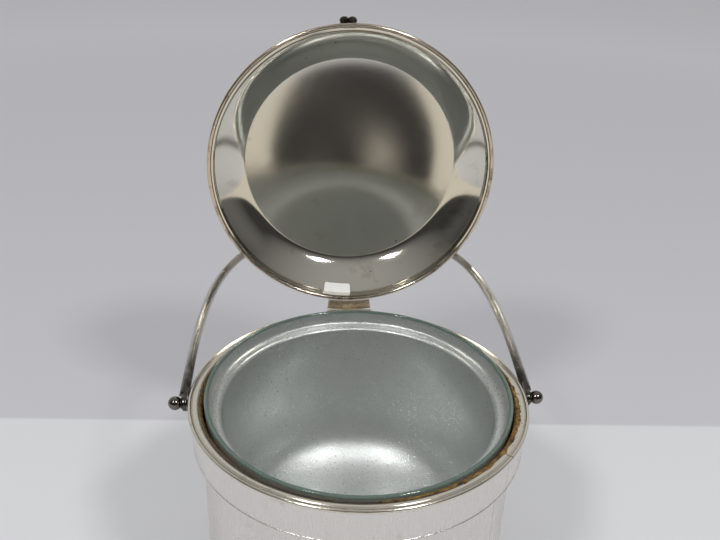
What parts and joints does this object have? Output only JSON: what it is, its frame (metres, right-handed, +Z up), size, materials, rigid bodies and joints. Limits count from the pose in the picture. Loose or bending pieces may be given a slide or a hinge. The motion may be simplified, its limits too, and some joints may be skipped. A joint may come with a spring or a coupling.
{
  "type": "ice bucket",
  "caption": "Round silver-plated ice bucket with a silvered glass liner, a hinged domed lid with a thumbpiece and a swinging bail handle on ball-headed screws.",
  "frame": {"origin": "centre of the flat underside of the base plate", "axes": "+Z up along the pail's axis, lid hinge at the back on +Y, bail pivots on -X and +X"},
  "size_m": [0.202, 0.2231, 0.3235],
  "materials": {
    "silver_plate": "bright silver plate with fine polishing scratches and light stains",
    "worn_plate": "silver plate worn and yellowed, with dark tarnish in its corners",
    "tarnished_plate": "silver plate gone almost black",
    "silvered_glass": "green-tinted glass, silvered behind, with a clear lip",
    "perished_rubber": "hardened and crumbling, ochre brown",
    "cork": "pressed cork",
    "paper": "matt blank sticker"
  },
  "bodies": {
    "body": {"body_drum": "silver_plate", "rim_collar": "worn_plate", "base_plate": "worn_plate", "foot_ring": "silver_plate", "glass_liner": "silvered_glass", "rim_gasket": "perished_rubber", "liner_cushion": "cork", "hinge_leaf_body": "worn_plate", "hinge_pin": "worn_plate", "pivot_boss_left": "silver_plate", "pivot_boss_right": "silver_plate"},
    "lid": {"lid_shell": "silver_plate", "lid_bead": "silver_plate", "thumbpiece": "tarnished_plate", "price_label": "paper", "hinge_leaf_lid": "worn_plate"},
    "pivots": {"pivot_screw_left": "tarnished_plate", "pivot_screw_right": "tarnished_plate", "pivot_washer_left": "tarnished_plate", "pivot_washer_right": "tarnished_plate", "pivot_nut_left": "worn_plate", "pivot_nut_right": "worn_plate"},
    "bail": {"bail_handle": "worn_plate"}
  },
  "joints": [
    {"name": "lid_hinge", "type": "hinge", "parent": "body", "child": "lid", "pos_m": [0, 0.0927, 0.1423], "axis": [1, 0, 0], "range_deg": [0, 91.5]},
    {"name": "bail_raise", "type": "hinge", "parent": "body", "child": "pivots", "pos_m": [0, 0, 0.14], "axis": [1, 0, 0], "range_deg": [0, 72.2]},
    {"name": "bail_swing", "type": "hinge", "parent": "pivots", "child": "bail", "pos_m": [0, 0, 0.14], "axis": [-1, 0, 0], "range_deg": [0, 66]}
  ],
  "couplings": [
    {"joint": "bail_raise", "follows": "lid_hinge", "ratio": 0.78688}
  ]
}
